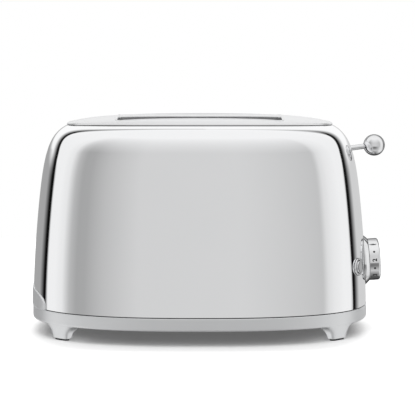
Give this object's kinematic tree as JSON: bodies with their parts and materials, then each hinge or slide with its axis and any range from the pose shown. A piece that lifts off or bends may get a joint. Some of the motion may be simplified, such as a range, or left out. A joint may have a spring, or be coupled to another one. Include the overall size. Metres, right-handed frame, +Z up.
{
  "type": "two-slice toaster",
  "caption": "Two-slice toaster: rounded polished steel shell on a silver base with short legs, oval slotted top plate, ball-ended lever, browning knob, push buttons and a crumb tray.",
  "frame": {"origin": "on the standing surface, under the middle of the overall box, which runs from the crumb tray front to the lever ball", "axes": "+X along the toaster towards the lever end, +Z up, -Y the front"},
  "size_m": [0.3269, 0.195, 0.1988],
  "materials": {
    "satin_silver": "satin silver lacquer",
    "chrome": "polished",
    "zinc_steel": "zinc plated",
    "rubber": "matte",
    "mica": "pressed mica",
    "nichrome": "oxidised ribbon",
    "copper": "enamelled copper wire",
    "circuit_board": "solder mask",
    "black_plastic": "moulded"
  },
  "bodies": {
    "housing": {"base_frame": "satin_silver", "top_plate": "satin_silver", "outer_shell": "chrome", "knob_escutcheon": "chrome", "button_bezel_front": "chrome", "button_bezel_rear": "chrome", "bottom_screw_front_left": "zinc_steel", "bottom_screw_front_right": "zinc_steel", "bottom_screw_rear_left": "zinc_steel", "bottom_screw_rear_right": "zinc_steel", "slot_liner_front": "zinc_steel", "slot_liner_rear": "zinc_steel", "end_plate_left": "zinc_steel", "end_plate_right": "zinc_steel", "guide_rod": "zinc_steel", "return_spring": "zinc_steel", "magnet_core": "zinc_steel", "browning_pot": "zinc_steel", "foot_pad_front_left": "rubber", "foot_pad_front_right": "rubber", "foot_pad_rear_left": "rubber", "foot_pad_rear_right": "rubber", "cord_gland": "rubber", "heater_board_front": "mica", "heater_board_centre": "mica", "heater_board_rear": "mica", "heater_ribbon_front": "nichrome", "heater_ribbon_centre_front": "nichrome", "heater_ribbon_centre_rear": "nichrome", "heater_ribbon_rear": "nichrome", "magnet_coil": "copper", "control_board": "circuit_board", "bottom_cover": "black_plastic", "terminal_block": "black_plastic"},
    "carriage": {"carriage_slide": "zinc_steel", "keeper_plate": "zinc_steel", "bread_rack_front": "zinc_steel", "bread_rack_rear": "zinc_steel", "lever_stem": "chrome", "lever_ball": "chrome"},
    "guard_front_outer": {"guard_front_outer": "zinc_steel"},
    "guard_front_inner": {"guard_front_inner": "zinc_steel"},
    "guard_rear_outer": {"guard_rear_outer": "zinc_steel"},
    "guard_rear_inner": {"guard_rear_inner": "zinc_steel"},
    "knob": {"browning_knob": "chrome", "knob_shaft": "zinc_steel"},
    "button_front": {"button_cap_front": "chrome"},
    "button_rear": {"button_cap_rear": "chrome"},
    "tray": {"crumb_tray": "zinc_steel", "crumb_tray_front": "satin_silver"}
  },
  "joints": [
    {"name": "lever_slide", "type": "slide", "parent": "housing", "child": "carriage", "axis": [0, 0, -1], "range_m": [0, 0.062], "stiffness_N_per_m": 35, "springref_m": -0.12, "deforming": ["return_spring"]},
    {"name": "guard_front_outer_hinge", "type": "hinge", "parent": "housing", "child": "guard_front_outer", "pos_m": [-0.00795, -0.0402, 0.043], "axis": [-1, 0, 0], "range_deg": [0, 3.5]},
    {"name": "guard_front_inner_hinge", "type": "hinge", "parent": "housing", "child": "guard_front_inner", "pos_m": [-0.00795, -0.0138, 0.043], "axis": [1, 0, 0], "range_deg": [0, 3.5]},
    {"name": "guard_rear_inner_hinge", "type": "hinge", "parent": "housing", "child": "guard_rear_inner", "pos_m": [-0.00795, 0.0138, 0.043], "axis": [-1, 0, 0], "range_deg": [0, 3.5]},
    {"name": "guard_rear_outer_hinge", "type": "hinge", "parent": "housing", "child": "guard_rear_outer", "pos_m": [-0.00795, 0.0402, 0.043], "axis": [1, 0, 0], "range_deg": [0, 3.5]},
    {"name": "browning_turn", "type": "hinge", "parent": "housing", "child": "knob", "pos_m": [0.14515, 0, 0.0636], "axis": [-0.9982, 0, -0.0594], "range_deg": [0, 270]},
    {"name": "button_front_press", "type": "slide", "parent": "housing", "child": "button_front", "axis": [-0.8706, 0.4887, -0.0564], "range_m": [0, 0.0015], "stiffness_N_per_m": 400, "springref_m": -0.002},
    {"name": "button_rear_press", "type": "slide", "parent": "housing", "child": "button_rear", "axis": [-0.8706, -0.4887, -0.0564], "range_m": [0, 0.0015], "stiffness_N_per_m": 400, "springref_m": -0.002},
    {"name": "crumb_tray_slide", "type": "slide", "parent": "housing", "child": "tray", "axis": [-1, 0, 0], "range_m": [0, 0.235]}
  ],
  "couplings": [
    {"joint": "guard_front_outer_hinge", "follows": "lever_slide", "rad_per_m": 0.985},
    {"joint": "guard_front_inner_hinge", "follows": "lever_slide", "rad_per_m": 0.985},
    {"joint": "guard_rear_inner_hinge", "follows": "lever_slide", "rad_per_m": 0.985},
    {"joint": "guard_rear_outer_hinge", "follows": "lever_slide", "rad_per_m": 0.985}
  ]
}
